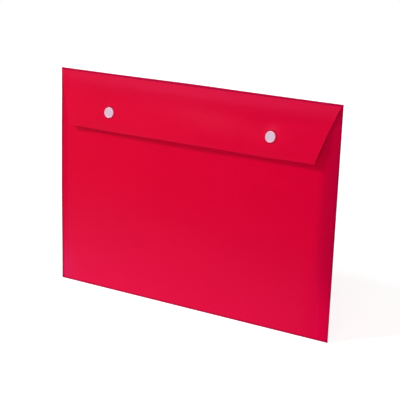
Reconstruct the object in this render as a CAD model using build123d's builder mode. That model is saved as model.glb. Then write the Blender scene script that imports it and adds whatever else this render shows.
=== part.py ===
"""A document wallet folded from polypropylene sheet and held shut by two press studs.

One die-cut blank makes the whole wallet. It is folded up along the bottom, welded down both
sides into a pocket, and creased along the top so that its tapered flap comes down over the
pocket's mouth. The panels of the blank are separate solids that meet at the creases.
Each press stud has a cap riveted to a socket through the flap, and a backing cap riveted to a
stud through the front panel.

Millimetres. The wallet stands upright: X runs along it, the front faces -Y and Z is up.
The origin is at the middle of the bottom.
"""
import os
from math import atan2, cos, degrees, pi, radians, sin, tan

from build123d import *

# The folded blank
wallet_width = 335.0
wallet_height = 245.0
sheet = 0.5

# The pocket, measured from the back panel's outer face
pocket_depth = 6.5
crease_depth = 4.9
mouth_drop = 18.0
taper_height = 80.0
taper_steps = 6
shoulder_width = 12.0
side_strip_width = 12.5
weld_width = 3.0

# The flap, with drops measured down from the wallet's top
flap_drop = 59.7
knee_drop = 19.4
knee_radius = 20.0
lip_angle = radians(12)
lip_radius = 15.0
lip_clearance = 0.5
flap_top_inset = 1.0
flap_lower_inset = 21.0
flap_corner_radius = 1.2

# The thinned line that the flap turns on
crease_film = 0.3
crease_clearance = 0.4

# The press studs' places
popper_spacing = 193.5
popper_drop = 39.6

# The caps on the outside and the backing caps inside the pocket
cap_diameter = 12.4
cap_thickness = 1.3
cap_rim = 1.5
cap_dish_depth = 0.25
cap_dish_slope = 0.3
cap_edge_radius = 0.45
backing_cap_thickness = 0.8
backing_edge_radius = 0.3

# The stud, its bulb and the rivet that holds it to its backing cap
stud_bulb_diameter = 4.4
stud_bulb_lip = 0.3
stud_height = 1.4
stud_flange = 0.6
rivet_recess_wall = 0.5
rivet_lip = 0.5
rivet_head_thickness = 0.3

# The socket, its sprung ring and the cap's post that holds it
socket_base = 0.8
ring_wall = 0.6
ring_depth = 1.2
ring_slot = 0.6
groove_width = 0.9
socket_wall = 0.85
post_head_clearance = 0.45
post_head_lip = 0.4
post_head_thickness = 0.3

# The fits
pin_clearance = 0.1
snap_play = 0.45
snap_end_play = 0.2
snap_gap = 0.1

# Sizes that follow from those above
half_width = wallet_width / 2
fold_depth = 2 * sheet
mouth_height = wallet_height - mouth_drop
crease_x = half_width - side_strip_width
shoulder_x = crease_x - shoulder_width
weld_x = half_width - weld_width

socket_bore = stud_bulb_diameter / 2 + snap_play
ring_radius = socket_bore + ring_wall
groove_radius = ring_radius + groove_width
socket_radius = groove_radius + socket_wall
socket_depth = stud_height - snap_gap + snap_end_play + post_head_thickness
socket_height = socket_base + socket_depth
post_head_radius = socket_bore - post_head_clearance
post_radius = post_head_radius - post_head_lip
rivet_recess_radius = stud_bulb_diameter / 2 - rivet_recess_wall
rivet_head_radius = rivet_recess_radius - pin_clearance
rivet_radius = rivet_head_radius - rivet_lip

cap_radius = cap_diameter / 2
flap_inner_depth = pocket_depth + stud_flange + snap_gap + socket_height
flap_middle_depth = flap_inner_depth + sheet / 2
flap_outer_depth = flap_inner_depth + sheet
lip_drop = popper_drop + cap_radius + lip_clearance + lip_radius * tan(lip_angle / 2)
lip_flare = (flap_drop - lip_drop) * tan(lip_angle)
lip_depth = flap_middle_depth + lip_flare + sheet / 2 / cos(lip_angle)
cap_face = flap_outer_depth + cap_thickness
total_depth = max(lip_depth, cap_face)
back_y = total_depth / 2

hinge_depth = sheet / 2
hinge_z = wallet_height - sheet / 2
popper_z = wallet_height - popper_drop
popper_half_spacing = popper_spacing / 2
flap_slope = atan2(flap_middle_depth - hinge_depth, knee_drop)
crease_reach = sheet / 2 / tan(flap_slope / 2) + crease_clearance


def y_at(depth):
    """The Y of a point this far in front of the back panel's outer face."""
    return back_y - depth


def bowed_depth(full_depth, height):
    """The depth of the pocket's outer face: a quarter sine wave up from the bottom fold."""
    share = min((height - sheet) / taper_height, 1)
    return fold_depth + (full_depth - fold_depth) * sin(pi / 2 * share)


def pocket_section(span, height):
    """The cut through a bowed panel at a height, from the X and full depth of its outer face."""
    outer_face = [(x, y_at(bowed_depth(full_depth, height))) for x, full_depth in span]
    inner_face = [(x, y + sheet) for x, y in reversed(outer_face)]
    return outer_face + inner_face


taper_levels = [sheet + taper_height * step / taper_steps for step in range(taper_steps + 1)]
pocket_levels = taper_levels + [mouth_height]

parts = []


def finish(builder, label):
    """Names a finished piece and keeps it for export."""
    builder.part.label = label
    parts.append(builder.part)


# The back panel: the flat back of the blank, from the bottom fold to the flap's crease
with BuildPart() as back_panel:
    with BuildSketch(Plane.XY.offset(sheet)):
        with Locations((0, y_at(sheet / 2))):
            Rectangle(wallet_width, sheet)
    extrude(amount=hinge_z - crease_reach - sheet)
finish(back_panel, "back_panel")

# The bottom fold: the blank turned through half a circle on itself
with BuildPart() as bottom_fold:
    with BuildSketch(Plane.YZ):
        with BuildLine():
            CenterArc((y_at(sheet), sheet), sheet, 180, 180)
            Line((y_at(fold_depth), sheet), (y_at(0), sheet))
        make_face()
    extrude(amount=half_width, both=True)
finish(bottom_fold, "bottom_fold")

# The front panel: bowed forward from the fold, then upright to the mouth, with rounded shoulders
front_half_outline = [
    (0, pocket_depth),
    (shoulder_x, pocket_depth),
    (crease_x, crease_depth),
]
with BuildPart() as front_panel:
    for span in zip(front_half_outline, front_half_outline[1:]):
        for level in pocket_levels:
            with BuildSketch(Plane.XY.offset(level)):
                with BuildLine():
                    Polyline(*pocket_section(span, level), close=True)
                make_face()
        loft(ruled=True)
    mirror(about=Plane.YZ)
    with BuildSketch(Plane.XZ):
        with Locations((0, popper_z)):
            with GridLocations(popper_spacing, 0, 2, 1):
                Circle(rivet_radius + pin_clearance)
    extrude(amount=total_depth, both=True, mode=Mode.SUBTRACT)
finish(front_panel, "front_panel")

# The side strips: they lean back from the front panel's creases to the welds on the back panel
for side, label in ((-1, "left_side_strip"), (1, "right_side_strip")):
    strip_outline = [
        (side * crease_x, crease_depth),
        (side * weld_x, fold_depth),
        (side * half_width, fold_depth),
    ]
    with BuildPart() as side_strip:
        for span in zip(strip_outline, strip_outline[1:]):
            for level in pocket_levels:
                with BuildSketch(Plane.XY.offset(level)):
                    with BuildLine():
                        Polyline(*pocket_section(span, level), close=True)
                    make_face()
            loft(ruled=True)
    finish(side_strip, label)

# The flap's crease: a rounded film on the hinge's axis, with a leg to each panel
with BuildPart() as flap_crease:
    with BuildSketch(Plane.YZ):
        with Locations((y_at(hinge_depth), hinge_z)):
            Circle(sheet / 2)
        for lean in (0, -degrees(flap_slope)):
            with Locations(Location((y_at(hinge_depth), hinge_z), lean)):
                Rectangle(crease_film, crease_reach, align=(Align.CENTER, Align.MAX))
    extrude(amount=half_width - flap_top_inset, both=True)
finish(flap_crease, "flap_crease")

# The flap: down and forward from the crease, over the mouth, upright at the studs, flared at the lip
flap_root = (
    y_at(hinge_depth) - crease_reach * sin(flap_slope),
    hinge_z - crease_reach * cos(flap_slope),
)
flap_knee = (y_at(flap_middle_depth), hinge_z - knee_drop)
flap_lip = (y_at(flap_middle_depth), wallet_height - lip_drop)
flap_end = (y_at(flap_middle_depth + lip_flare + sheet * tan(lip_angle)), wallet_height - flap_drop - sheet)
with BuildPart() as flap:
    with BuildSketch(Plane.YZ):
        with BuildLine():
            FilletPolyline(flap_root, flap_knee, flap_lip, flap_end, radius=[knee_radius, lip_radius])
        trace(line_width=sheet)
    extrude(amount=half_width, both=True)
    with BuildSketch(Plane.XZ):
        with BuildLine():
            Polyline(
                (-half_width + flap_top_inset, wallet_height),
                (-half_width + flap_lower_inset, wallet_height - flap_drop),
                (half_width - flap_lower_inset, wallet_height - flap_drop),
                (half_width - flap_top_inset, wallet_height),
                close=True,
            )
        outline = make_face()
        fillet(outline.vertices().group_by(Axis.Y)[0], flap_corner_radius)
    extrude(amount=total_depth, both=True, mode=Mode.INTERSECT)
    with BuildSketch(Plane.XZ):
        with Locations((0, popper_z)):
            with GridLocations(popper_spacing, 0, 2, 1):
                Circle(post_radius + pin_clearance)
    extrude(amount=total_depth, both=True, mode=Mode.SUBTRACT)
finish(flap, "flap")

# The press studs, each turned about an axis through the two sheets
dish_radius = cap_radius - cap_rim - cap_dish_slope
post_end = flap_inner_depth - socket_base
bulb_radius = stud_bulb_diameter / 2
neck_radius = bulb_radius - stud_bulb_lip
stud_seat = pocket_depth + stud_flange
stud_top = stud_seat + stud_height
rivet_seat = stud_top - 2 * rivet_head_thickness
backing_seat = pocket_depth - sheet

cap_outline = [
    (0, cap_face - cap_dish_depth),
    (dish_radius, cap_face - cap_dish_depth),
    (dish_radius + cap_dish_slope, cap_face),
    (cap_radius, cap_face),
    (cap_radius, flap_outer_depth),
    (post_radius, flap_outer_depth),
    (post_radius, post_end),
    (post_head_radius, post_end),
    (post_head_radius, post_end - post_head_thickness),
    (0, post_end - post_head_thickness),
]
socket_outline = [
    (post_radius + pin_clearance, flap_inner_depth),
    (socket_radius, flap_inner_depth),
    (socket_radius, flap_inner_depth - socket_height),
    (groove_radius, flap_inner_depth - socket_height),
    (groove_radius, flap_inner_depth - socket_height + ring_depth),
    (ring_radius, flap_inner_depth - socket_height + ring_depth),
    (ring_radius, flap_inner_depth - socket_height),
    (socket_bore, flap_inner_depth - socket_height),
    (socket_bore, post_end),
    (post_radius + pin_clearance, post_end),
]
stud_outline = [
    (rivet_radius + pin_clearance, pocket_depth),
    (socket_radius, pocket_depth),
    (socket_radius, stud_seat),
    (neck_radius, stud_seat),
    (bulb_radius, stud_seat + stud_height / 2),
    (bulb_radius - stud_bulb_lip, stud_top),
    (rivet_recess_radius, stud_top),
    (rivet_recess_radius, rivet_seat),
    (rivet_radius + pin_clearance, rivet_seat),
]
backing_outline = [
    (0, backing_seat - backing_cap_thickness),
    (cap_radius, backing_seat - backing_cap_thickness),
    (cap_radius, backing_seat),
    (rivet_radius, backing_seat),
    (rivet_radius, rivet_seat),
    (rivet_head_radius, rivet_seat),
    (rivet_head_radius, rivet_seat + rivet_head_thickness),
    (0, rivet_seat + rivet_head_thickness),
]

for side, name in ((-1, "left_popper"), (1, "right_popper")):
    popper_x = side * popper_half_spacing
    popper_plane = Plane(origin=(popper_x, 0, popper_z), x_dir=(1, 0, 0), z_dir=(0, 0, 1))
    popper_axis = Axis((popper_x, 0, popper_z), (0, 1, 0))

    with BuildPart() as cap:
        with BuildSketch(popper_plane):
            with BuildLine():
                Polyline(*[(radius, y_at(depth)) for radius, depth in cap_outline], close=True)
            make_face()
        revolve(axis=popper_axis)
        fillet(cap.edges().group_by(Axis.Y)[0], cap_edge_radius)
    finish(cap, name + "_cap")

    with BuildPart() as socket:
        with BuildSketch(popper_plane):
            with BuildLine():
                Polyline(*[(radius, y_at(depth)) for radius, depth in socket_outline], close=True)
            make_face()
        revolve(axis=popper_axis)
        with BuildSketch(Plane.XZ.offset(-y_at(flap_inner_depth - socket_height))):
            with Locations((popper_x, popper_z)):
                Rectangle(ring_radius + groove_radius, ring_slot)
                Rectangle(ring_slot, ring_radius + groove_radius)
        extrude(amount=-ring_depth, mode=Mode.SUBTRACT)
    finish(socket, name + "_socket")

    with BuildPart() as stud:
        with BuildSketch(popper_plane):
            with BuildLine():
                Polyline(*[(radius, y_at(depth)) for radius, depth in stud_outline], close=True)
            make_face()
        revolve(axis=popper_axis)
    finish(stud, name + "_stud")

    with BuildPart() as backing_cap:
        with BuildSketch(popper_plane):
            with BuildLine():
                Polyline(*[(radius, y_at(depth)) for radius, depth in backing_outline], close=True)
            make_face()
        revolve(axis=popper_axis)
        fillet(backing_cap.edges().group_by(Axis.Y)[-1], backing_edge_radius)
    finish(backing_cap, name + "_backing_cap")

os.makedirs("parts", exist_ok=True)
for part in parts:
    export_step(part, f"parts/{part.label}.step")
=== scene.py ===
from math import cos, pi, radians, sin, tan

import bpy
import numpy as np
from mathutils import Matrix, Vector


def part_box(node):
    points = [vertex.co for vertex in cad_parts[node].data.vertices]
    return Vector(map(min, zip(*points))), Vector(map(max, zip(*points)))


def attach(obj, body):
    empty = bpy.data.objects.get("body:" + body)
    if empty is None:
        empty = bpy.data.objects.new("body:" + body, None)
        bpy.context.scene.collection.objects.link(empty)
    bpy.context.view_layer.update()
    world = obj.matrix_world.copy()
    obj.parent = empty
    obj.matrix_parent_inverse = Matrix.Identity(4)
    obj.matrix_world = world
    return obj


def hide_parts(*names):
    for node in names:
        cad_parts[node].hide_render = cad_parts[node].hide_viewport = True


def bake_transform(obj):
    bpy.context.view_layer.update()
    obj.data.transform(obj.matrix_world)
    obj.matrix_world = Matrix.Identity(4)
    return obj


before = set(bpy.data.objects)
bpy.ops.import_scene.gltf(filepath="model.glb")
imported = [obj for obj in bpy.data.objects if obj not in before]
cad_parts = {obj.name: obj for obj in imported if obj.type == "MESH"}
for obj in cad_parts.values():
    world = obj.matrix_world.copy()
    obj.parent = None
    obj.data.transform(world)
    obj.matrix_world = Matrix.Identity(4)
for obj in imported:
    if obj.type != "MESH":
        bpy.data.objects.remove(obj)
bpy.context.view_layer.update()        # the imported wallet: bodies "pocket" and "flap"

# The wallet stands upright on its bottom fold: X runs along it, the front faces -Y and Z is up.
# Lengths are metres. Depths are measured forwards from the back panel's outer face.
millimetre = 0.001


# Back panel
# The flat back of the one blank that the wallet is folded from: half a millimetre of satin red
# polypropylene sheet. Its sides are welded to the strips of the front, which leaves a fine pressed line.
back_low, back_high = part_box("back_panel")
sheet_thickness = back_high.y - back_low.y
back_face = back_high.y
half_width = back_high.x
weld_width = 3.0 * millimetre
weld_line_depth = 0.07 * millimetre
weld_line_width = 0.35 * millimetre
back_edge_width = 0.7 * millimetre
cut_edge_radius = 0.12 * millimetre
cut_edge_segments = 2
cut_edge_angle = radians(50)
long_step = 12.0 * millimetre
edge_rows = np.array([0.0, 0.15, 0.4, 0.8, 1.4]) * millimetre
same_place = 0.001 * millimetre
place_digits = 6

# The sheet's reds, with the X or Z range over which one passes into the next.
cloud_reds = ((0.665, 0.0010, 0.0265, 1), (0.700, 0.0015, 0.0300, 1))
# Painted shade: the second red is darker, standing in for the light that falls off towards the right.
painted_shade_right_red = (0.670, 0.0, 0.029, 1)
painted_shade_right_red_x = np.array([-120.0, 150.0]) * millimetre
left_margin_red = (0.672, 0.0, 0.026, 1)
left_margin_x = np.array([-158.0, -150.0]) * millimetre
speck_red = (0.560, 0.0010, 0.022, 1)
speck_share = 0.10
# The pale reds are stress whitening along the front's creases, and painted reflection and painted sheen
# elsewhere; on the flap they are all painted sheen.
sheen_and_stress_red = (0.80, 0.034, 0.194, 1)
sheen_and_stress_share = 0.40
right_sheen_and_stress_red = (0.80, 0.004, 0.200, 1)
right_margin_x = np.array([135.0, 160.0]) * millimetre
flap_painted_sheen_red = (0.80, 0.046, 0.108, 1)
flap_red_z = np.array([150.0, 190.0]) * millimetre
# Darker along the cut edges, and the red of painted shade at the fold, right margin, cap rings and flap top.
edge_and_shade_red = (0.26, 0.002, 0.045, 1)
edge_and_shade_share = 0.75

# The sheet's finish. A pattern is its bumps to the metre and its detail, a bump its strength and depth.
sheet_gloss = 0.13
sheet_gloss_tint = (1.0, 0.03, 0.44, 1.0)
satin_roughness = (0.42, 0.52)
noise_middle = (0.3, 0.7)
cloud_pattern = (11, 3)
speck_pattern = (1500, 2)
satin_pattern = (70, 4)
draw_stretch = (4, 4, 420)
draw_pattern = (1, 2)
draw_bump = (0.05, 0.08 * millimetre)
grain_pattern = (2300, 3)
grain_bump = (0.10, 0.06 * millimetre)


def spaced(low, high, step, lines=()):
    """Even values from low to high, closer together at both ends and on both sides of each line."""
    even = np.linspace(low, high, int(round((high - low) / step)) + 1)
    beside = [line + side * edge_rows for line in lines for side in (-1, 1)]
    values = np.concatenate([even, low + edge_rows, high - edge_rows, *beside])
    values = np.unique(np.round(values, place_digits))
    return values[(values >= low - same_place) & (values <= high + same_place)]


def ridge(value, middle, reach):
    """A bell curve: one at the middle, falling to about a third at this reach from it."""
    return np.exp(-((value - middle) / reach) ** 2)


def quads_of(rows, columns):
    """The four corners of each cell in a grid of rows by columns of points."""
    corner = np.arange(rows * columns).reshape(rows, columns)
    cells = [corner[:-1, :-1], corner[:-1, 1:], corner[1:, 1:], corner[1:, :-1]]
    return np.stack(cells, axis=-1).reshape(-1, 4)


def new_piece(name, points, faces, marks, material):
    """A smooth mesh object from points and faces, with its marks as values on the points."""
    mesh = bpy.data.meshes.new(name)
    mesh.from_pydata(points.reshape(-1, 3).tolist(), [], faces)
    mesh.polygons.foreach_set("use_smooth", np.ones(len(mesh.polygons), bool))
    for mark_name, values in marks.items():
        layer = mesh.attributes.new(mark_name, "FLOAT", "POINT")
        layer.data.foreach_set("value", np.ascontiguousarray(values, np.float32).ravel())
    mesh.materials.append(material)
    mesh.update()
    piece = bpy.data.objects.new(name, mesh)
    bpy.context.scene.collection.objects.link(piece)
    return piece


def sheet_piece(name, points, marks, material):
    """A piece of sheet: its middle surface as a grid of points, thickened and with its cut edges eased."""
    piece = new_piece(name, points, quads_of(*points.shape[:2]).tolist(), marks, material)
    wall = piece.modifiers.new("sheet", "SOLIDIFY")
    wall.thickness = sheet_thickness
    wall.offset = 0
    wall.use_even_offset = True
    ease = piece.modifiers.new("eased cut edge", "BEVEL")
    ease.width = cut_edge_radius
    ease.segments = cut_edge_segments
    ease.limit_method = "ANGLE"
    ease.angle_limit = cut_edge_angle
    ease.harden_normals = True
    return piece


def plain_material(name):
    """A new material, with its nodes and its surface shader."""
    material = bpy.data.materials.new(name)
    material.use_nodes = True
    return material, material.node_tree, material.node_tree.nodes["Principled BSDF"]


def noise(tree, place, pattern):
    """A soft random pattern over these coordinates."""
    node = tree.nodes.new("ShaderNodeTexNoise")
    node.inputs["Scale"].default_value, node.inputs["Detail"].default_value = pattern
    tree.links.new(place, node.inputs["Vector"])
    return node.outputs["Fac"]


def spread(tree, value, taken, given):
    """A straight line that turns the range of values taken into the range given, and is level beyond it."""
    node = tree.nodes.new("ShaderNodeMapRange")
    node.inputs["From Min"].default_value, node.inputs["From Max"].default_value = taken
    node.inputs["To Min"].default_value, node.inputs["To Max"].default_value = given
    tree.links.new(value, node.inputs["Value"])
    return node.outputs["Result"]


def tinted(tree, share, base, tint):
    """The base where the share is zero, the tint where it is one, and an even mix between. Either can be a
    fixed colour or come from another node."""
    node = tree.nodes.new("ShaderNodeMix")
    node.data_type = "RGBA"
    tree.links.new(share, node.inputs["Factor"])
    for socket, colour in (("A", base), ("B", tint)):
        target = next(i for i in node.inputs if i.name == socket and i.type == "RGBA")
        if isinstance(colour, tuple):
            target.default_value = colour
        else:
            tree.links.new(colour, target)
    return next(o for o in node.outputs if o.type == "RGBA")


def mark(tree, name, strength):
    """The values that a piece carries on its points under this name, times the strength."""
    node = tree.nodes.new("ShaderNodeAttribute")
    node.attribute_name = name
    scale = tree.nodes.new("ShaderNodeMath")
    scale.operation = "MULTIPLY"
    scale.inputs[1].default_value = strength
    tree.links.new(node.outputs["Fac"], scale.inputs[0])
    return scale.outputs["Value"]


def bumped(tree, surface, *bumps):
    """Presses each pattern of heights into the surface, by its strength and depth, over the one before."""
    normal = None
    for height, strength, depth in bumps:
        bump = tree.nodes.new("ShaderNodeBump")
        bump.inputs["Strength"].default_value = strength
        bump.inputs["Distance"].default_value = depth
        tree.links.new(height, bump.inputs["Height"])
        if normal is not None:
            tree.links.new(normal, bump.inputs["Normal"])
        normal = bump.outputs["Normal"]
    tree.links.new(normal, surface.inputs["Normal"])


def red_sheet_material():
    """Satin red sheet: clouded pigment that passes slowly into a darker red to the right, which is painted
    shade, a purer left margin and fine dark specks. It is paler along creases where it is stressed, and
    paler again with painted reflection and painted sheen, warmer on the flap than on the front. It is darker
    along the cut edges and with painted shade. Draw lines from the rollers and a pressed grain are bumps."""
    material, tree, surface = plain_material("red_sheet")
    surface.inputs["Specular IOR Level"].default_value = sheet_gloss
    surface.inputs["Specular Tint"].default_value = sheet_gloss_tint
    place = tree.nodes.new("ShaderNodeTexCoord").outputs["Object"]
    position = tree.nodes.new("ShaderNodeSeparateXYZ")
    tree.links.new(place, position.inputs["Vector"])
    x = position.outputs["X"]
    z = position.outputs["Z"]

    clouded = spread(tree, noise(tree, place, cloud_pattern), noise_middle, (0, 1))
    colour = tinted(tree, clouded, *cloud_reds)
    # Painted shade: darker towards the right.
    colour = tinted(tree, spread(tree, x, painted_shade_right_red_x, (0, 1)), colour, painted_shade_right_red)
    colour = tinted(tree, spread(tree, x, left_margin_x, (1, 0)), colour, left_margin_red)
    specks = spread(tree, noise(tree, place, speck_pattern), noise_middle, (0, speck_share))
    colour = tinted(tree, specks, colour, speck_red)
    # Paler: real stress whitening on the creases, painted reflection and painted sheen elsewhere.
    sheen_and_stress = tinted(tree, spread(tree, x, right_margin_x, (0, 1)), sheen_and_stress_red, right_sheen_and_stress_red)
    sheen_and_stress = tinted(tree, spread(tree, z, flap_red_z, (0, 1)), sheen_and_stress, flap_painted_sheen_red)
    colour = tinted(tree, mark(tree, "pale_stress_and_sheen", sheen_and_stress_share), colour, sheen_and_stress)
    # Darker: the cut edges, and painted shade where the marks lay it on.
    colour = tinted(tree, mark(tree, "dark_edge_and_shade", edge_and_shade_share), colour, edge_and_shade_red)
    tree.links.new(colour, surface.inputs["Base Color"])
    satin = spread(tree, noise(tree, place, satin_pattern), noise_middle, satin_roughness)
    tree.links.new(satin, surface.inputs["Roughness"])

    stretch = tree.nodes.new("ShaderNodeMapping")
    stretch.inputs["Scale"].default_value = draw_stretch
    tree.links.new(place, stretch.inputs["Vector"])
    draw_lines = noise(tree, stretch.outputs["Vector"], draw_pattern)
    grain = noise(tree, place, grain_pattern)
    bumped(tree, surface, (draw_lines, *draw_bump), (grain, *grain_bump))
    return material


red_sheet = red_sheet_material()


def back_panel():
    """A flat grid of the back's middle surface, pressed in along the line where each weld begins."""
    weld_x = half_width - weld_width
    x = spaced(-half_width, half_width, long_step, (-weld_x, weld_x))
    z = spaced(back_low.z, back_high.z, long_step)
    x, z = np.meshgrid(x, z)
    pressed = weld_line_depth * ridge(abs(x), weld_x, weld_line_width)
    points = np.stack([x, back_face - sheet_thickness / 2 - pressed, z], axis=-1)
    marks = {"dark_edge_and_shade": ridge(abs(x), half_width, back_edge_width)}
    return sheet_piece("back_panel_sheet", points, marks, red_sheet)


back = back_panel()
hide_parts("back_panel")
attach(back, "pocket")


# Bottom fold
# The hot-creased turn of the blank under the pocket, where the sheet doubles back on itself: a half round
# along the whole width, darker all over, partly the pressed crease and partly painted shade at the floor.
fold_low, fold_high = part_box("bottom_fold")
fold_depth = 2 * sheet_thickness
fold_arc_points = 17
# Partly the pressed crease, partly painted shade where the fold meets the floor.
fold_press_and_shade = 1.0


def carried_piece(name, x, depth, z, pressed, material):
    """A closed section carried along X and capped at both ends. Each value has a row for each step and a
    column for each point of the section, so the ends can slant and the section can change."""
    points = np.stack([x, back_face - depth, z], axis=-1)
    steps, count = x.shape
    ring = np.arange(steps * count).reshape(steps, count)
    after = np.roll(ring, -1, axis=1)
    sides = np.stack([ring[:-1], ring[1:], after[1:], after[:-1]], axis=-1).reshape(-1, 4)
    faces = sides.tolist() + [ring[0].tolist(), ring[-1, ::-1].tolist()]
    return new_piece(name, points, faces, {"dark_edge_and_shade": np.full((steps, count), pressed)}, material)


def bottom_fold():
    """A half round under the two layers: its section goes from the front face round to the back face."""
    turn = np.linspace(pi, 0, fold_arc_points)
    x, turn = np.meshgrid(spaced(fold_low.x, fold_high.x, long_step), turn, indexing="ij")
    radius = fold_depth / 2
    depth = radius * (1 - np.cos(turn))
    z = radius * (1 - np.sin(turn))
    return carried_piece("bottom_fold_round", x, depth, z, fold_press_and_shade, red_sheet)


fold = bottom_fold()
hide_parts("bottom_fold")
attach(fold, "pocket")


# Front panel and side strips
# The pocket's face and its two margins: one panel of the sheet, folded up and welded to the back at both
# sides. On the left the margin lies flat and the sheet turns up steeply from it, on the right it rounds
# over and slopes back. The mouth is cut low between two ears.
front_low, front_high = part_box("front_panel")
pocket_depth = back_face - front_low.y
crease_x = front_high.x
mouth_z = front_high.z
taper_height = 105.0 * millimetre
left_wall = np.array([-155.9, -153.2]) * millimetre
left_wall_ease = 0.9 * millimetre
low_wall_share = 0.3
wall_slack = 30.0 * millimetre
left_lift = 0.45 * millimetre
left_lift_middle = 105.0 * millimetre
left_lift_height = 45.0 * millimetre
right_turn = np.array([147.5, 162.0]) * millimetre
right_turn_shift = 8.0 * millimetre
ear_top = 241.5 * millimetre
ear_turn = np.array([149.0, 158.0]) * millimetre
ear_from = 167.0 * millimetre
ear_cut_in = 0.6 * millimetre
ear_depth = 1.3 * millimetre
roof_slope = 0.2
roof_softness = 0.4 * millimetre
column_step = 1.5 * millimetre
row_step = 3.0 * millimetre
wall_point_count = 25
wall_line_every = 6

# Where the face is paler: the creases, and a painted floor reflection low down and in the lower left corner.
low_fade = np.array([15.0, 50.0]) * millimetre
right_crease_strength = 0.3
right_crease_width = 0.8 * millimetre
wall_crease_strength = 0.12
wall_crease_width = 0.6 * millimetre
painted_floor_reflection = 0.45
painted_floor_reflection_fade = np.array([-60.0, 150.0]) * millimetre
reflection_loss_rightwards = 0.2
reflection_loss_at_turn = 0.1
painted_corner_reflection_strength = 0.38
painted_corner_reflection_width = 20.0 * millimetre

# Where the face is darker: the cut edges, the fold line with painted shade, the left margin and painted
# shade over the right margin. Plural names hold a left and a right value.
edge_line_strengths = [1.25, 0.78]
edge_line_widths = np.array([2.3, 1.65]) * millimetre
ear_line_losses = [0.0, 0.7]
mouth_line_width = 0.3 * millimetre
# The fold line is partly painted shade where the sheet meets the floor.
fold_line_and_shade_strength = 0.85
fold_line_and_shade_width = 1.5 * millimetre
left_margin_dark_strength = 0.09
left_margin_dark_fade = np.array([-156.0, -146.0]) * millimetre
# Painted shade over the right margin, which turns away from the light, growing upwards.
right_painted_shade_strength = 0.27
right_painted_shade_fade = np.array([144.0, 160.0]) * millimetre
right_painted_shade_rise = np.array([20.0, 80.0]) * millimetre


def rounded_step(start, end, value):
    """Zero before start, one after end, and a smooth S curve between them."""
    share = np.clip((value - start) / (end - start), 0, 1)
    return share * share * (3 - 2 * share)


def eased_rise(start, end, value):
    """Zero before start and a straight line of slope one after end, joined by a curve whose slope is
    the S curve between them."""
    share = np.clip((value - start) / (end - start), 0, 1)
    return (end - start) * (share ** 3 - share ** 4 / 2) + np.maximum(value - end, 0)


def pocket_rise(z):
    """How far the face has come forward at this height: an S curve from the fold to the full depth."""
    return rounded_step(0, taper_height, z - front_low.z)


def pocket_depth_at(x, z):
    """The depth of the pocket's outer face. Across: a flat left margin that lifts a little half-way up, a
    steep eased wall up to the face, and an eased turn, farther out near the bottom, into a straight slope
    down to the right edge. Upwards: the S curve, and at the top a soft minimum with a roof that leans
    back."""
    wall_start, wall_end = left_wall
    wall = eased_rise(wall_start, wall_start + left_wall_ease, x)
    wall = wall - eased_rise(wall_end - left_wall_ease, wall_end, x)
    wall_slope = 1 / (wall_end - wall_start - left_wall_ease)
    rise = pocket_rise(z)
    turn_start, turn_end = right_turn
    shift = right_turn_shift * (1 - rise)
    turn_slope = 1 / (half_width - right_turn.mean() - shift)
    full = wall_slope * wall - turn_slope * eased_rise(turn_start + shift, turn_end + shift, x)
    to_left_edge = np.clip((wall_start - x) / (wall_start + half_width), 0, 1)
    lift = left_lift * to_left_edge * ridge(z, left_lift_middle, left_lift_height)
    depth = fold_depth + (pocket_depth - fold_depth) * full * rise + lift
    roof = ear_depth + roof_slope * (ear_top - z)
    under_roof = -roof_softness * np.logaddexp(-depth / roof_softness, -roof / roof_softness)
    return np.maximum(under_roof, fold_depth)


def pocket_points(x, row):
    """The middle of the sheet over these X values and rows. The rows' outer ends rise to the ears, whose
    sides are cut in, and the left wall is squeezed into a narrower one where the pocket is shallow."""
    ear = rounded_step(*ear_turn, abs(x)) * rounded_step(ear_from, mouth_z, row)
    z = row + (ear_top - mouth_z) * ear
    depth = pocket_depth_at(x, z) - sheet_thickness / 2
    cut_in = ear_cut_in * rounded_step(ear_from, ear_top, z)
    wall_start, wall_end = left_wall
    in_wall = np.clip(x - wall_start, 0, wall_end - wall_start)
    squeezed = (1 - low_wall_share) * (1 - pocket_rise(z)) * in_wall
    squeezed = squeezed * (1 - rounded_step(wall_end, wall_end + wall_slack, x))
    return np.stack([(x - squeezed) * (1 - cut_in / half_width), back_face - depth, z], axis=-1)


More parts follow.
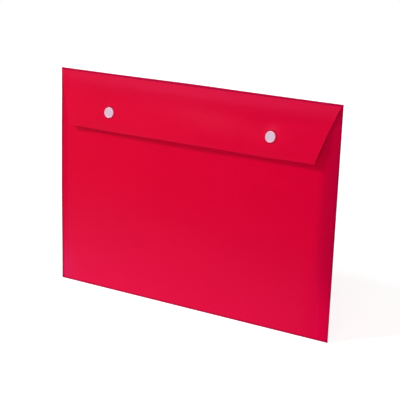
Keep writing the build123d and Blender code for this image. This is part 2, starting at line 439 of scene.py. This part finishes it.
def pocket_marks(x, row, z):
    """Bell curves along the creases and edges, and S curves for the painted floor reflection that fades
    upwards from the fold, for the darker left margin and for the painted shade over the right margin."""
    low = 1 - rounded_step(*low_fade, z)
    creases = right_crease_strength * low * ridge(x, crease_x, right_crease_width)
    creases = creases + wall_crease_strength * ridge(x, left_wall[1], wall_crease_width)
    leftwards = 1 - reflection_loss_rightwards * x / half_width
    leftwards = leftwards - reflection_loss_at_turn * rounded_step(*right_turn, x)
    # Painted reflection of the floor, paler near the fold and in the lower left corner.
    sheen_and_stress = painted_floor_reflection * leftwards * (1 - rounded_step(*painted_floor_reflection_fade, z))
    sheen_and_stress = sheen_and_stress + painted_corner_reflection_strength * low * ridge(x, -half_width, painted_corner_reflection_width)
    ear_loss = np.where(x < 0, *ear_line_losses) * rounded_step(ear_from, mouth_z, z)
    line_strength = np.where(x < 0, *edge_line_strengths) * (1 - ear_loss)
    edges_and_fold_shade = line_strength * ridge(abs(x), half_width, np.where(x < 0, *edge_line_widths))
    edges_and_fold_shade = edges_and_fold_shade + ridge(row, mouth_z, mouth_line_width)
    # The fold line, partly painted shade where the sheet meets the floor.
    edges_and_fold_shade = edges_and_fold_shade + fold_line_and_shade_strength * ridge(z, front_low.z, fold_line_and_shade_width)
    # Darker over the left margin, and painted shade over the right one.
    margin_darkening = left_margin_dark_strength * (1 - rounded_step(*left_margin_dark_fade, x))
    right_painted_shade = rounded_step(*right_painted_shade_rise, z) * rounded_step(*right_painted_shade_fade, x)
    margin_darkening = margin_darkening + right_painted_shade_strength * right_painted_shade
    return {"pale_stress_and_sheen": sheen_and_stress + creases, "dark_edge_and_shade": np.minimum(edges_and_fold_shade + margin_darkening, 1)}


def pocket_sheet():
    """A grid over the whole front, with more columns in the left wall and beside each crease."""
    wall_columns = np.linspace(*left_wall, wall_point_count)
    lines = (crease_x, *wall_columns[::wall_line_every])
    columns = np.concatenate([spaced(-half_width, half_width, column_step, lines), wall_columns])
    x, row = np.meshgrid(np.unique(columns), spaced(front_low.z, mouth_z, row_step))
    points = pocket_points(x, row)
    return sheet_piece("pocket_front_sheet", points, pocket_marks(x, row, points[..., 2]), red_sheet)


front = pocket_sheet()
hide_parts("front_panel", "left_side_strip", "right_side_strip")
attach(front, "pocket")


# Studs and backing caps
# The lower halves of the two press studs: a moulded stud in front of the pocket, riveted through
# the sheet to a round cap inside it. Milky white plastic, glossy from the mould.
plastic_gloss = 0.4
plastic_roughness = (0.26, 0.40)
milk_whites = ((0.60, 0.455, 0.56, 1), (0.66, 0.505, 0.61, 1))
milk_pattern = (260, 3)
# A painted highlight on the cap's rim, tinted pink by a painted reflection of the red sheet.
painted_rim_highlight_pink = (0.97, 0.43, 0.555, 1)
mould_pattern = (4200, 2)
mould_bump = (0.06, 0.05 * millimetre)


def white_plastic_material():
    """Milky white moulded plastic: faint clouding of its colour and gloss, a fine mould texture, and a
    painted highlight on the thin rim, tinted pink by a painted reflection of the red sheet."""
    material, tree, surface = plain_material("white_popper")
    surface.inputs["Specular IOR Level"].default_value = plastic_gloss
    place = tree.nodes.new("ShaderNodeTexCoord").outputs["Object"]
    cloud = noise(tree, place, milk_pattern)
    milky = tinted(tree, cloud, *milk_whites)
    # Painted highlight and painted red reflection on the cap's rim.
    colour = tinted(tree, mark(tree, "thin_rim", 1), milky, painted_rim_highlight_pink)
    tree.links.new(colour, surface.inputs["Base Color"])
    tree.links.new(spread(tree, cloud, (0, 1), plastic_roughness), surface.inputs["Roughness"])
    bumped(tree, surface, (noise(tree, place, mould_pattern), *mould_bump))
    return material


white_plastic = white_plastic_material()
for side in ("left", "right"):
    for half in ("stud", "backing_cap"):
        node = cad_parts[f"{side}_popper_{half}"]
        node.data.materials.clear()
        node.data.materials.append(white_plastic)


# Flap crease
# The thinned line along the top that the flap turns on: the sheet is pressed to a film there, so it
# bends for thousands of openings. It is one with the back panel and the flap.
wallet_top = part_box("flap_crease")[1].z
hinge_depth = sheet_thickness / 2
hinge_z = wallet_top - sheet_thickness / 2
flap_slope = radians(23)
crease_clearance = 0.4 * millimetre
crease_reach = sheet_thickness / 2 / tan(flap_slope / 2) + crease_clearance
crease_cut_in = 1.5 * millimetre
crease_rise = 0.33 * millimetre
crease_rise_loss = 0.25
crease_bow = 0.45 * millimetre
crease_bow_width = 62.0 * millimetre
crease_pressed = 0.72
film_half_thickness = 0.15 * millimetre
film_arc_points = 13
film_outer_shares = np.array([[0.5], [1.0]])
film_inner_shares = np.array([[1.0], [0.8]])
notch_share = 0.55


def crease_film():
    """A closed strip carried along X. Its section goes up the back's outer face, round the top in an arc,
    down the flap's outer face, and back up and down the two inner faces to their notch. The arc is raised,
    less to the right and more on a bell curve in the middle. The flap's side is cut in as the flap is."""
    half = sheet_thickness / 2
    # In the section's own plane, the first value is depth and the second is height, both from the hinge.
    down_back = np.array([0, back_high.z - hinge_z])
    along_flap = crease_reach * np.array([sin(flap_slope), -cos(flap_slope)])
    out_of_back = np.array([-half, 0])
    out_of_flap = half * np.array([cos(flap_slope), sin(flap_slope)])
    turn = np.linspace(pi, flap_slope, film_arc_points)
    arc = half * np.stack([np.cos(turn), np.sin(turn)], axis=-1)
    back_outer = film_outer_shares[::-1] * down_back + out_of_back
    flap_outer = film_outer_shares * along_flap + out_of_flap
    flap_inner = film_inner_shares * along_flap - out_of_flap
    notch_height = -film_half_thickness / tan(flap_slope / 2) - half
    notch = np.array([[notch_share * film_half_thickness, notch_height]])
    back_inner = film_inner_shares[::-1] * down_back - out_of_back
    section = np.concatenate([back_outer, arc, flap_outer, flap_inner, notch, back_inner])
    after_arc = len(back_outer) + len(arc)
    index = np.arange(len(section))
    on_arc = (index > len(back_outer)) & (index < after_arc)
    on_flap = (index >= after_arc) & (index < after_arc + len(flap_outer) + len(flap_inner))
    x = spaced(-half_width, half_width, long_step)[:, None]
    rise = crease_rise * (1 - crease_rise_loss * x / half_width)
    rise = rise + crease_bow * ridge(x, 0, crease_bow_width)
    depth = hinge_depth + section[:, 0] + 0 * x
    z = hinge_z + section[:, 1] + rise * on_arc
    x = x * (1 - crease_cut_in / half_width * on_flap)
    return carried_piece("flap_crease_film", x, depth, z, crease_pressed, red_sheet)


film = crease_film()
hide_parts("flap_crease")
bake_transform(film)


# Flap
# The tapered flap, cut in one with the blank and pierced for the press studs. It slopes out from the
# crease, bends over the pocket's mouth, leans out down to its lip, and is held back by the studs.
flap_length = 60.9 * millimetre
flap_row_step = 1.0 * millimetre
flap_column_count = 201
side_columns = np.array([0.996, 0.999])
popper_columns = np.linspace(0.578, 0.688, 43)
popper_rows = np.linspace(31.0, 50.0, 46) * millimetre

# Its outline. A pair of values whose name ends in along or across is a middle and a reach.
flap_drop = wallet_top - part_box("flap")[0].z
flap_top_inset = 1.0 * millimetre
flap_lower_inset = 21.0 * millimetre
flap_askew = -0.4 * millimetre
flap_corner_radius = 0.5 * millimetre
hollow_cut = 0.65 * millimetre
hollow_along = np.array([28.0, 9.0]) * millimetre

# Its bends, from the crease down. Places across the flap go from -1 at the left to 1 at the right.
land_tilt = radians(12)
lip_tilt = radians(3)
lip_bend = np.array([44.0, 56.0]) * millimetre
knee_middle = 13.0 * millimetre
knee_lift = 2.5 * millimetre
knee_lift_power = 4
knee_half = 4.5 * millimetre
wave_from = np.array([-0.6, 0.7])
dip_tilt = radians(-6)
dip_along = np.array([22.0, 5.0]) * millimetre
dip_climb = 6.0 * millimetre
dip_climb_from = np.array([0.3, 0.9])
bulge_tilt = radians(3.5)
bulge_along = np.array([29.0, 6.0]) * millimetre

# How its lip stands out and hangs down.
lip_from = 28.0 * millimetre
sway_middle = -0.65 * millimetre
sway_rightwards = 1.1 * millimetre
lip_left_lift = 0.7 * millimetre
lip_left_from = np.array([0.7, 0.95])
lip_pulls = np.array([0.9, 1.5]) * millimetre
lip_pull_middles = [-0.65, 0.61]
lip_pull_reaches = [0.18, 0.28]
lip_pull_drop_share = 0.5
lip_bow = 0.5 * millimetre
lip_bow_middle = -0.3
lip_bow_reach = 0.5
lip_end_rise = 0.55 * millimetre
lip_end_from = 0.5

# The press studs' seats in it, left and right.
popper_boxes = [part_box(f"{side}_popper_cap") for side in ("left", "right")]
popper_askew = np.array([-0.35, 0.35]) * millimetre
popper_x = [(low.x + high.x) / 2 for low, high in popper_boxes]
popper_z = [(low.z + high.z) / 2 + askew for (low, high), askew in zip(popper_boxes, popper_askew)]
popper_tilts = np.radians([11, 15])
popper_yaws = np.radians([0, 5])
popper_depth = 10.05 * millimetre
sheet_yaw_share = 0.4
held_flat = 6.6 * millimetre
held_reach = 24.0 * millimetre
held_wide = 1.8
furrow_depths = np.array([0.1, 0.6]) * millimetre
furrow_above = 13.0 * millimetre
furrow_width = 12.0 * millimetre
furrow_height = 5.0 * millimetre

# Painted sheen and highlights make it paler: a band under the crease, its ends, a bloom, each stud, its
# edges.
painted_sheen_band_strength = 0.08
painted_sheen_band_gain = 0.12
painted_sheen_band_fade = np.array([8.0, 22.0]) * millimetre
painted_left_sheen = 0.10
painted_right_sheen = 0.06
painted_right_sheen_from = np.array([0.3, 0.8])
painted_bloom_strength = 0.22
painted_bloom_across = np.array([0.18, 0.34])
painted_bloom_along = np.array([33.0, 11.0]) * millimetre
painted_bloom_slant = 14.0 * millimetre
painted_highlight_strengths = [0.08, 0.50]
painted_highlight_above = 5.0 * millimetre
painted_highlight_reach = 6.0 * millimetre
painted_edge_highlight_strength = 0.3
painted_edge_highlight_width = 0.35 * millimetre

# Where it is darker: the line along the crease, a painted shadow round each cap, painted shade up top.
top_line_strength = 0.5
top_line_width = 1.25 * millimetre
painted_ring_shadow_radius = 6.1 * millimetre
painted_ring_shadow_width = 0.75 * millimetre
# Painted shade over the upper part, which faces the light.
painted_upper_shade_strength = 0.10
painted_upper_shade_fade = np.array([12.0, 34.0]) * millimetre


def flap_bends(along, across):
    """The depth and height of the sheet's middle: the sums of its tilt's sine and cosine down the sheet.
    The tilt goes from the crease's slope to the land's at a knee that rises towards both ends, and then to
    the lip's. Bell curves add a dip and a bulge that grow to the right, where the dip climbs."""
    knee = knee_middle - knee_lift * across ** knee_lift_power
    turned = rounded_step(-knee_half, knee_half, along - knee)
    tilt = flap_slope + (land_tilt - flap_slope) * turned
    tilt = tilt + (lip_tilt - land_tilt) * rounded_step(*lip_bend, along)
    climbed = dip_climb * rounded_step(*dip_climb_from, across)
    waved = dip_tilt * ridge(along + climbed, *dip_along) + bulge_tilt * ridge(along, *bulge_along)
    tilt = tilt + waved * rounded_step(*wave_from, across)
    step = np.diff(along, axis=0, prepend=0)
    depth = hinge_depth + np.cumsum(np.sin(tilt) * step, axis=0)
    z = hinge_z - np.cumsum(np.cos(tilt) * step, axis=0)
    return depth, z


def lip_shift(along, across):
    """How far the sheet stands out and hangs down towards the lip: an S curve down the sheet times what the
    lip does. It sways evenly from left to right, lifts at its left end and is drawn in on a bell curve at
    each stud. It hangs lower in a bow and where it is drawn in, and rises at the right."""
    sway = sway_middle + sway_rightwards * across
    sway = sway + lip_left_lift * rounded_step(*lip_left_from, -across)
    bells = zip(lip_pulls, lip_pull_middles, lip_pull_reaches)
    pulled = sum(pull * ridge(across, middle, reach) for pull, middle, reach in bells)
    hang = lip_bow * ridge(across, lip_bow_middle, lip_bow_reach)
    hang = hang - lip_end_rise * rounded_step(lip_end_from, 1, across) + lip_pull_drop_share * pulled
    towards_lip = rounded_step(lip_from, flap_length, along)
    return (sway - pulled) * towards_lip, hang * towards_lip


def flap_outline(along, across, drop):
    """The X of each point and its distance from the nearer side. The sides taper evenly, lean to the left
    and end in round corners at the lip. The right one is cut hollow on a bell curve."""
    inset = flap_top_inset + (flap_lower_inset - flap_top_inset) * drop / flap_drop
    into_corner = np.clip(flap_corner_radius - (flap_length - along), 0, flap_corner_radius)
    corner = flap_corner_radius - np.sqrt(flap_corner_radius ** 2 - into_corner ** 2)
    half = half_width - inset - corner
    hollow = hollow_cut * ridge(along, *hollow_along) * rounded_step(0, 1, across)
    x = across * half - hollow + flap_askew * drop / flap_drop
    return x, (1 - abs(across)) * half


def held_depth(x, depth, z):
    """The sheet's depth, eased near each stud to the stud's leaning seat, with a shallow furrow above it."""
    poppers = zip(popper_x, popper_z, popper_tilts, popper_yaws, furrow_depths)
    for middle_x, middle_z, tilt, yaw, furrow_depth in poppers:
        beside = x - middle_x
        above = z - middle_z
        held = 1 - rounded_step(held_flat, held_reach, np.hypot(beside / held_wide, above))
        seat = popper_depth - above * tan(tilt) + beside * tan(sheet_yaw_share * yaw)
        furrow = ridge(beside, 0, furrow_width) * ridge(above, furrow_above, furrow_height)
        depth = depth + (seat - depth) * held - furrow_depth * furrow
    return depth


def flap_marks(along, across, x, z, to_side):
    """S curves for the painted sheen of the band and the paler ends and for the painted shade over the upper
    part, and bell curves for the painted sheen of the bloom, for the painted highlight and the painted
    shadow ring at each stud, for the painted highlight along the cut edges and for the line along the
    crease."""
    # Painted sheen: the band under the crease, the paler ends and the slanted bloom.
    sheen_band = painted_sheen_band_strength + painted_sheen_band_gain * rounded_step(-1, 0, across)
    painted_paleness = sheen_band * (1 - rounded_step(*painted_sheen_band_fade, along))
    painted_paleness = painted_paleness + painted_left_sheen * (1 - rounded_step(0, 1, across))
    painted_paleness = painted_paleness + painted_right_sheen * rounded_step(*painted_right_sheen_from, across)
    sheen_middle, sheen_reach = painted_bloom_across
    slanted = along - painted_bloom_slant * (across - sheen_middle)
    painted_paleness = painted_paleness + painted_bloom_strength * ridge(across, sheen_middle, sheen_reach) * ridge(slanted, *painted_bloom_along)
    # A painted highlight along the cut edges.
    to_edge = np.minimum(to_side, flap_length - along)
    painted_paleness = painted_paleness + painted_edge_highlight_strength * ridge(to_edge, 0, painted_edge_highlight_width)
    lines_and_painted_shade = top_line_strength * ridge(z, wallet_top, top_line_width)
    # Painted shade over the upper part.
    lines_and_painted_shade = lines_and_painted_shade + painted_upper_shade_strength * (1 - rounded_step(*painted_upper_shade_fade, along))
    for middle_x, middle_z, highlight_strength in zip(popper_x, popper_z, painted_highlight_strengths):
        beside = x - middle_x
        above = z - middle_z
        # A painted highlight over the stud.
        painted_paleness = painted_paleness + highlight_strength * ridge(np.hypot(beside, above - painted_highlight_above), 0, painted_highlight_reach)
        # A painted shadow in a ring round the cap.
        lines_and_painted_shade = lines_and_painted_shade + ridge(np.hypot(beside, above), painted_ring_shadow_radius, painted_ring_shadow_width)
    return {"pale_stress_and_sheen": painted_paleness[::-1], "dark_edge_and_shade": lines_and_painted_shade[::-1]}


def flap_sheet():
    """A grid of rows down the sheet and columns across it, closer together at the edges and round the
    studs. The rows are then put in order upwards, so that the faces look outwards."""
    along = np.concatenate([spaced(crease_reach, flap_length, flap_row_step), popper_rows])
    along = np.unique(np.round(along, place_digits))[:, None]
    close_columns = np.concatenate([side_columns, popper_columns])
    across = np.concatenate([np.linspace(-1, 1, flap_column_count), -close_columns, close_columns])
    across = np.unique(np.round(across, place_digits))[None, :]
    depth, z = flap_bends(along, across)
    outwards, downwards = lip_shift(along, across)
    z = z - downwards
    x, to_side = flap_outline(along, across, wallet_top - z)
    depth = held_depth(x, depth + outwards, z)
    points = np.stack([x, back_face - depth, z], axis=-1)[::-1]
    return sheet_piece("flap_sheet", points, flap_marks(along, across, x, z, to_side), red_sheet)


flap = flap_sheet()
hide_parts("flap")
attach(flap, "flap")


# Caps and sockets
# The upper halves of the press studs, moulded in the same white plastic: a round cap with a raised rim
# and a shallow dish on the flap's outside, and behind it the sprung socket that grips the stud. They are
# joined through the flap and lean with it.
cap_low, cap_high = popper_boxes[0]
cap_face = cap_low.y
cap_trim = 0.36 * millimetre
cap_radius = (cap_high.x - cap_low.x) / 2 - cap_trim
cap_rim = 1.2 * millimetre
cap_dish_depth = 0.22 * millimetre
cap_dish_ease = 0.35 * millimetre
cap_edge_radius = 0.7 * millimetre
cap_gate_height = 0.06 * millimetre
cap_gate_width = 0.8 * millimetre
cap_under_in = 0.2 * millimetre
cap_under_up = 0.15 * millimetre
cap_thin_rim = np.array([-0.9, 0.6]) * millimetre
cap_dish_points = 24
cap_rim_points = 14
cap_edge_points = 13
socket_radius = 5.0 * millimetre
socket_height = 1.3 * millimetre
socket_base = 0.4 * millimetre
socket_ring = np.array([2.95, 3.5]) * millimetre
socket_groove = 4.25 * millimetre
socket_corner = 0.12 * millimetre
lathe_steps = 128
slot_count = 4
slot_steps = 4


def lathed_piece(name, place, lean, radius, height, marks, material, slotted=None):
    """A profile of radius and height, from pole to pole, turned round an axis through the sheet's middle
    that leans up by the tilt and turns to the left by the yaw. Slotted gives the heights that the profile
    drops to in narrow slots."""
    tilt, yaw = lean
    angle = np.linspace(0, 2 * pi, lathe_steps, endpoint=False)
    inner_radius = radius[1:-1, None]
    inner_height = height[1:-1, None] + 0 * angle
    if slotted is not None:
        in_slot = np.arange(lathe_steps) % (lathe_steps // slot_count) < slot_steps
        inner_height = np.where(in_slot, slotted[1:-1, None], inner_height)
    middle = np.array([place[0], back_face - popper_depth, place[1]])
    outwards = np.array([-sin(yaw) * cos(tilt), -cos(yaw) * cos(tilt), sin(tilt)])
    sideways = np.array([cos(yaw), -sin(yaw), 0])
    upwards = np.array([sin(yaw) * sin(tilt), cos(yaw) * sin(tilt), cos(tilt)])
    across = np.cos(angle)[:, None] * sideways + np.sin(angle)[:, None] * upwards
    rings = middle + inner_radius[..., None] * across + inner_height[..., None] * outwards
    poles = middle + np.array([[height[0]], [height[-1]]]) * outwards
    points = np.concatenate([rings.reshape(-1, 3), poles])
    ring = np.arange(rings.shape[0] * lathe_steps).reshape(-1, lathe_steps)
    after = np.roll(ring, -1, axis=1)
    sides = np.stack([ring[:-1], ring[1:], after[1:], after[:-1]], axis=-1).reshape(-1, 4)
    first, last = ring.size, ring.size + 1
    front_fan = np.stack([ring[0], after[0], np.full(lathe_steps, first)], axis=-1)
    back_fan = np.stack([after[-1], ring[-1], np.full(lathe_steps, last)], axis=-1)
    faces = sides.tolist() + front_fan.tolist() + back_fan.tolist()
    turned = {}
    for mark_name, values in marks.items():
        turned[mark_name] = np.append(np.repeat(values[1:-1], lathe_steps), [values[0], values[-1]])
    return new_piece(name, points, faces, turned, material)


def cap_profile():
    """From the middle of the dish outwards: a flat dish with a tiny gate mark, an S up to the rounded
    rim, a quarter round over the edge and the flat underside back to the middle."""
    face_height = back_face - popper_depth - cap_face
    seat_height = sheet_thickness / 2
    dish_radius = cap_radius - cap_rim
    round_from = cap_radius - cap_edge_radius
    dish_across = np.linspace(0, dish_radius, cap_dish_points)
    across = np.concatenate([dish_across, np.linspace(dish_radius, round_from, cap_rim_points)[1:]])
    dish = 1 - rounded_step(dish_radius - cap_dish_ease, dish_radius + cap_dish_ease, across)
    face = face_height - cap_dish_depth * dish + cap_gate_height * ridge(across, 0, cap_gate_width)
    turn = np.linspace(0, pi / 2, cap_edge_points)[1:]
    edge_radius = round_from + cap_edge_radius * np.sin(turn)
    edge = face[-1] - cap_edge_radius * (1 - np.cos(turn))
    under_radius = np.array([cap_radius, cap_radius - cap_under_in, 0])
    under = np.array([seat_height + cap_under_up, seat_height, seat_height])
    radius = np.concatenate([across, edge_radius, under_radius])
    height = np.concatenate([face, edge, under])
    return radius, height, {"thin_rim": rounded_step(*(dish_radius + cap_thin_rim), radius)}


def rounded_corners(corners, radius):
    """A line through these corners, each eased by a curve that starts and ends this far from it."""
    middle = corners[1:-1]
    before = corners[:-2] - middle
    beyond = corners[2:] - middle
    before = radius * before / np.linalg.norm(before, axis=1, keepdims=True)
    beyond = radius * beyond / np.linalg.norm(beyond, axis=1, keepdims=True)
    eased = np.stack([middle + before, middle + (before + beyond) / 4, middle + beyond], axis=1)
    return np.concatenate([corners[:1], eased.reshape(-1, 2), corners[-1:]])


def socket_profile():
    """From the middle of the seat outwards, over the wall's end, through the groove, round the sprung
    ring and into the bore. In a slot the ring drops to the groove's floor."""
    seat = -sheet_thickness / 2
    floor_height = seat - socket_base
    end = seat - socket_height
    bore, ring = socket_ring
    corners = np.array([
        [0, seat], [socket_radius, seat],
        [socket_radius, end], [socket_groove, end],
        [socket_groove, floor_height], [ring, floor_height],
        [ring, end], [bore, end],
        [bore, floor_height], [0, floor_height],
    ])
    radius, height = rounded_corners(corners, socket_corner).T
    on_ring = abs(radius - socket_ring.mean()) < socket_ring.ptp()
    slotted = np.where(on_ring, np.maximum(height, floor_height), height)
    return radius, height, {"thin_rim": 0 * radius}, slotted


places = zip(popper_x, popper_z)
leans = zip(popper_tilts, popper_yaws)
for side, place, lean in zip(("left", "right"), places, leans):
    cap = lathed_piece(f"{side}_popper_cap_turned", place, lean, *cap_profile(), white_plastic)
    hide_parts(f"{side}_popper_cap")
    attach(cap, "flap")
    *profile, slotted = socket_profile()
    socket = lathed_piece(f"{side}_popper_socket_turned", place, lean, *profile, white_plastic, slotted)
    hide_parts(f"{side}_popper_socket")
    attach(socket, "flap")


# Studio
# A plain pale floor under a soft white surround. The key lamp stands in front on the left, a large weak
# one on the camera's side and one behind fill the shadows, and a soft panel that lies before the wallet
# lifts its lower front as a white card would.
pure_white = (1, 1, 1, 1)
floor_half = 1.7
floor_corners = np.array([[-1, -1, 0], [1, -1, 0], [1, 1, 0], [-1, 1, 0]], float) * floor_half
floor_colour = (0.80, 0.80, 0.80, 1)
floor_roughness = 0.9
floor_glow = 0.70
surround_light = 0.25
wallet_middle = Vector((0, 0, wallet_top / 2))
floor_card_middle = Vector((-0.075, -0.30, 0))


def seen_directly(tree):
    """One for rays from the camera, a mirror or through glass, and zero for rays that light the object."""
    path = tree.nodes.new("ShaderNodeLightPath")
    total = path.outputs["Is Camera Ray"]
    for ray in ("Is Glossy Ray", "Is Transmission Ray"):
        add = tree.nodes.new("ShaderNodeMath")
        add.operation = "ADD"
        add.use_clamp = True
        tree.links.new(total, add.inputs[0])
        tree.links.new(path.outputs[ray], add.inputs[1])
        total = add.outputs["Value"]
    return total


def pale_floor_material():
    """Matt white card: it takes the wallet's shadow and shows as white where nothing shades it."""
    material, tree, surface = plain_material("pale_floor")
    surface.inputs["Base Color"].default_value = floor_colour
    surface.inputs["Roughness"].default_value = floor_roughness
    surface.inputs["Specular IOR Level"].default_value = 0
    surface.inputs["Emission Color"].default_value = pure_white
    glow = spread(tree, seen_directly(tree), (0, 1), (0, floor_glow))
    tree.links.new(glow, surface.inputs["Emission Strength"])
    return material


floor = new_piece("floor", floor_corners, [[0, 1, 2, 3]], {}, pale_floor_material())

world = bpy.data.worlds.new("white_surround")
bpy.context.scene.world = world
world.use_nodes = True
background = world.node_tree.nodes["Background"]
background.inputs["Color"].default_value = pure_white
level = spread(world.node_tree, seen_directly(world.node_tree), (0, 1), (surround_light, 1))
world.node_tree.links.new(level, background.inputs["Strength"])


def direction(azimuth, elevation):
    """The direction that is azimuth round to the right of straight in front and elevation above level:
    the sines and cosines of the two angles."""
    return Vector((sin(azimuth) * cos(elevation), -cos(azimuth) * cos(elevation), sin(elevation)))


def soft_lamp(name, aim, azimuth, elevation, distance, width, height, power):
    """A rectangular area lamp that faces its aim from this direction and distance."""
    away = direction(radians(azimuth), radians(elevation))
    lamp = bpy.data.lights.new(name, "AREA")
    lamp.shape = "RECTANGLE"
    lamp.size = width
    lamp.size_y = height
    lamp.energy = power
    holder = bpy.data.objects.new(name, lamp)
    holder.location = aim + distance * away
    holder.rotation_euler = away.to_track_quat("Z", "Y").to_euler()
    holder.visible_camera = False
    bpy.context.scene.collection.objects.link(holder)


soft_lamp(
    "key_softbox", wallet_middle, azimuth=-42, elevation=40, distance=2.4,
    width=0.4, height=0.4, power=32.3)
soft_lamp(
    "front_fill", wallet_middle, azimuth=22, elevation=8, distance=2.5,
    width=1.8, height=1.8, power=20.6)
soft_lamp(
    "back_fill", wallet_middle, azimuth=200, elevation=5, distance=2.5,
    width=1.4, height=1.4, power=19.0)
soft_lamp(
    "floor_card", floor_card_middle, azimuth=0, elevation=75, distance=0.01,
    width=0.47, height=0.42, power=0.31)


# Camera
# A long lens about a metre away, in front of the wallet and to its right and a little above it, rolled a
# little, as the photograph was taken.
camera_aim = Vector((0.01654, 0.0, 0.12632))
camera_azimuth = radians(29.95)
camera_elevation = radians(16.08)
camera_roll = radians(1.83)
camera_distance = 1.1392
camera_data = bpy.data.cameras.new("camera")
camera_data.sensor_width = 36.0
camera_data.sensor_fit = "HORIZONTAL"
camera_data.lens = 98.23
camera_data.clip_end = 100
camera = bpy.data.objects.new("camera", camera_data)
outwards = direction(camera_azimuth, camera_elevation)
turned = outwards.to_track_quat("Z", "Y").to_matrix().to_4x4() @ Matrix.Rotation(camera_roll, 4, "Z")
camera.matrix_world = Matrix.Translation(camera_aim + camera_distance * outwards) @ turned
bpy.context.scene.collection.objects.link(camera)
bpy.context.scene.camera = camera
bpy.context.scene.view_settings.view_transform = "Standard"
